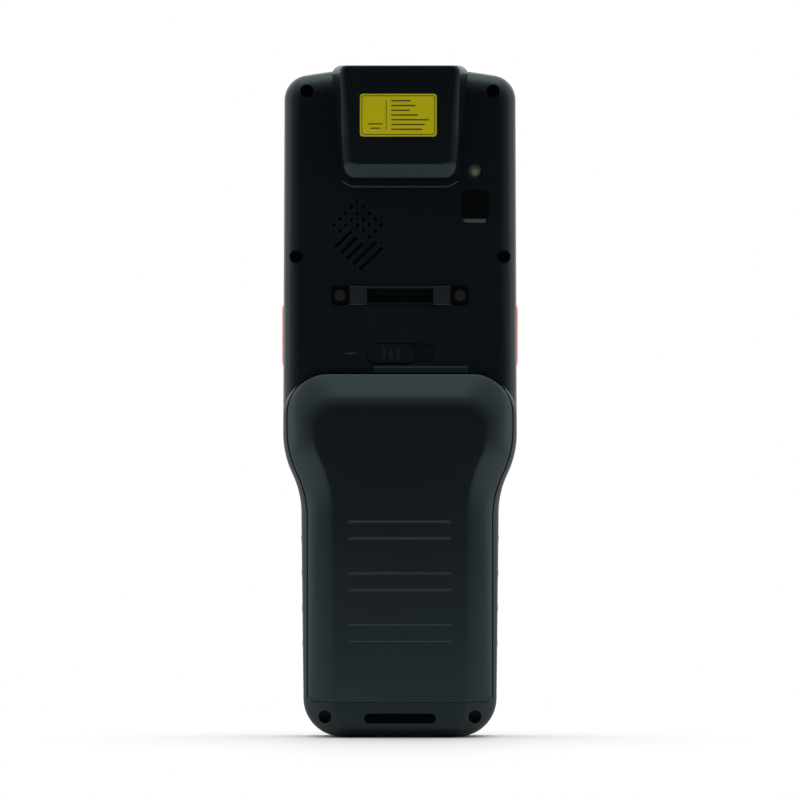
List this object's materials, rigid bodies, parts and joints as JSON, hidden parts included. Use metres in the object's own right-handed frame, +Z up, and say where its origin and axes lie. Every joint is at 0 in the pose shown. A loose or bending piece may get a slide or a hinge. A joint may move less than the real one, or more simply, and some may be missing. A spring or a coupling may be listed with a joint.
{
  "type": "barcode data terminal",
  "caption": "Handheld barcode data terminal with a scanner hood, camera, display, keypad, hand-strap bracket and a tilt-out battery pack with a sliding latch.",
  "frame": {"origin": "centre of the bounding box at the bottom end, in the plane that the terminal stands on", "axes": "+Z up along the length to the scanner end, +Y out of the keypad side, +X to the right as seen from the back"},
  "size_m": [0.0706, 0.034, 0.2013],
  "materials": {
    "housing_plastic": "fine-textured satin",
    "front_plastic": "fine-textured satin",
    "pack_plastic": "fine-textured satin",
    "inner_plastic": "matte",
    "seal_rubber": "matte",
    "grip_rubber": "matte",
    "screw_steel": "blackened",
    "scan_glass": "clear, tinted red",
    "camera_glass": "clear, tinted dark",
    "display_glass": "polished",
    "display_panel": "gloss",
    "label_yellow": "printed film",
    "lens_clear": "frosted",
    "led_yellow": "satin",
    "mesh_metal": "woven mesh",
    "board_green": "solder mask",
    "can_metal": "tinned",
    "dome_film": "clear film",
    "frame_alloy": "cast",
    "contact_gold": "gold plated",
    "cell_wrap": "shrink film",
    "bolt_steel": "satin",
    "key_orange": "satin",
    "key_red": "satin",
    "key_grey": "satin",
    "key_dark": "satin"
  },
  "bodies": {
    "housing": {"front_housing": "front_plastic", "rear_housing": "housing_plastic", "housing_seal": "seal_rubber", "side_grip_left": "grip_rubber", "side_grip_right": "grip_rubber", "housing_screws": "screw_steel", "strap_bracket": "housing_plastic", "strap_bracket_screws": "screw_steel", "scan_engine": "inner_plastic", "scan_window": "scan_glass", "hood_label": "label_yellow", "camera_window": "camera_glass", "camera_module": "inner_plastic", "flash_lens": "lens_clear", "flash_led": "led_yellow", "speaker": "inner_plastic", "speaker_mesh": "mesh_metal", "main_board": "board_green", "board_chips": "can_metal", "keypad_board": "board_green", "dome_sheet": "dome_film", "midframe": "frame_alloy", "display_window": "display_glass", "display_module": "display_panel", "display_seal": "seal_rubber", "earpiece": "inner_plastic", "indicator_lens": "lens_clear", "usb_port": "can_metal", "contact_block": "inner_plastic", "contact_pins": "contact_gold", "side_switches": "can_metal"},
    "battery_pack": {"battery_cover": "pack_plastic", "battery_deck": "inner_plastic", "battery_tray": "inner_plastic", "battery_catch": "bolt_steel", "battery_cells": "cell_wrap", "battery_board": "board_green", "battery_pads": "contact_gold"},
    "latch": {"latch_knob": "housing_plastic", "latch_bolt": "bolt_steel"},
    "side_key_left": {"side_key_left": "key_orange"},
    "side_key_right": {"side_key_right": "key_orange"},
    "key_1": {"key_1": "key_dark"},
    "key_2": {"key_2": "key_dark"},
    "key_3": {"key_3": "key_dark"},
    "key_4": {"key_4": "key_dark"},
    "key_5": {"key_5": "key_dark"},
    "key_6": {"key_6": "key_dark"},
    "key_7": {"key_7": "key_dark"},
    "key_8": {"key_8": "key_dark"},
    "key_9": {"key_9": "key_dark"},
    "key_star": {"key_star": "key_dark"},
    "key_0": {"key_0": "key_dark"},
    "key_hash": {"key_hash": "key_dark"},
    "key_escape": {"key_escape": "key_grey"},
    "key_scan": {"key_scan": "key_orange"},
    "key_enter": {"key_enter": "key_grey"},
    "key_soft_left": {"key_soft_left": "key_dark"},
    "key_power": {"key_power": "key_red"},
    "key_soft_right": {"key_soft_right": "key_dark"}
  },
  "joints": [
    {"name": "battery_swing", "type": "hinge", "parent": "housing", "child": "battery_pack", "pos_m": [0, -0.01166, 0.012], "axis": [1, 0, 0], "range_deg": [0, 40]},
    {"name": "latch_slide", "type": "slide", "parent": "housing", "child": "latch", "axis": [1, 0, 0], "range_m": [0, 0.005]},
    {"name": "side_key_left_press", "type": "slide", "parent": "housing", "child": "side_key_left", "axis": [1, 0, 0], "range_m": [0, 0.0005], "stiffness_N_per_m": 3000, "springref_m": -0.0001},
    {"name": "side_key_right_press", "type": "slide", "parent": "housing", "child": "side_key_right", "axis": [-1, 0, 0], "range_m": [0, 0.0005], "stiffness_N_per_m": 3000, "springref_m": -0.0001},
    {"name": "key_1_press", "type": "slide", "parent": "housing", "child": "key_1", "axis": [0, -1, 0], "range_m": [0, 0.0005], "stiffness_N_per_m": 3000, "springref_m": -0.0001},
    {"name": "key_2_press", "type": "slide", "parent": "housing", "child": "key_2", "axis": [0, -1, 0], "range_m": [0, 0.0005], "stiffness_N_per_m": 3000, "springref_m": -0.0001},
    {"name": "key_3_press", "type": "slide", "parent": "housing", "child": "key_3", "axis": [0, -1, 0], "range_m": [0, 0.0005], "stiffness_N_per_m": 3000, "springref_m": -0.0001},
    {"name": "key_4_press", "type": "slide", "parent": "housing", "child": "key_4", "axis": [0, -1, 0], "range_m": [0, 0.0005], "stiffness_N_per_m": 3000, "springref_m": -0.0001},
    {"name": "key_5_press", "type": "slide", "parent": "housing", "child": "key_5", "axis": [0, -1, 0], "range_m": [0, 0.0005], "stiffness_N_per_m": 3000, "springref_m": -0.0001},
    {"name": "key_6_press", "type": "slide", "parent": "housing", "child": "key_6", "axis": [0, -1, 0], "range_m": [0, 0.0005], "stiffness_N_per_m": 3000, "springref_m": -0.0001},
    {"name": "key_7_press", "type": "slide", "parent": "housing", "child": "key_7", "axis": [0, -1, 0], "range_m": [0, 0.0005], "stiffness_N_per_m": 3000, "springref_m": -0.0001},
    {"name": "key_8_press", "type": "slide", "parent": "housing", "child": "key_8", "axis": [0, -1, 0], "range_m": [0, 0.0005], "stiffness_N_per_m": 3000, "springref_m": -0.0001},
    {"name": "key_9_press", "type": "slide", "parent": "housing", "child": "key_9", "axis": [0, -1, 0], "range_m": [0, 0.0005], "stiffness_N_per_m": 3000, "springref_m": -0.0001},
    {"name": "key_star_press", "type": "slide", "parent": "housing", "child": "key_star", "axis": [0, -1, 0], "range_m": [0, 0.0005], "stiffness_N_per_m": 3000, "springref_m": -0.0001},
    {"name": "key_0_press", "type": "slide", "parent": "housing", "child": "key_0", "axis": [0, -1, 0], "range_m": [0, 0.0005], "stiffness_N_per_m": 3000, "springref_m": -0.0001},
    {"name": "key_hash_press", "type": "slide", "parent": "housing", "child": "key_hash", "axis": [0, -1, 0], "range_m": [0, 0.0005], "stiffness_N_per_m": 3000, "springref_m": -0.0001},
    {"name": "key_escape_press", "type": "slide", "parent": "housing", "child": "key_escape", "axis": [0, -1, 0], "range_m": [0, 0.0005], "stiffness_N_per_m": 3000, "springref_m": -0.0001},
    {"name": "key_scan_press", "type": "slide", "parent": "housing", "child": "key_scan", "axis": [0, -1, 0], "range_m": [0, 0.0005], "stiffness_N_per_m": 3000, "springref_m": -0.0001},
    {"name": "key_enter_press", "type": "slide", "parent": "housing", "child": "key_enter", "axis": [0, -1, 0], "range_m": [0, 0.0005], "stiffness_N_per_m": 3000, "springref_m": -0.0001},
    {"name": "key_soft_left_press", "type": "slide", "parent": "housing", "child": "key_soft_left", "axis": [0, -1, 0], "range_m": [0, 0.0005], "stiffness_N_per_m": 3000, "springref_m": -0.0001},
    {"name": "key_power_press", "type": "slide", "parent": "housing", "child": "key_power", "axis": [0, -1, 0], "range_m": [0, 0.0005], "stiffness_N_per_m": 3000, "springref_m": -0.0001},
    {"name": "key_soft_right_press", "type": "slide", "parent": "housing", "child": "key_soft_right", "axis": [0, -1, 0], "range_m": [0, 0.0005], "stiffness_N_per_m": 3000, "springref_m": -0.0001}
  ]
}
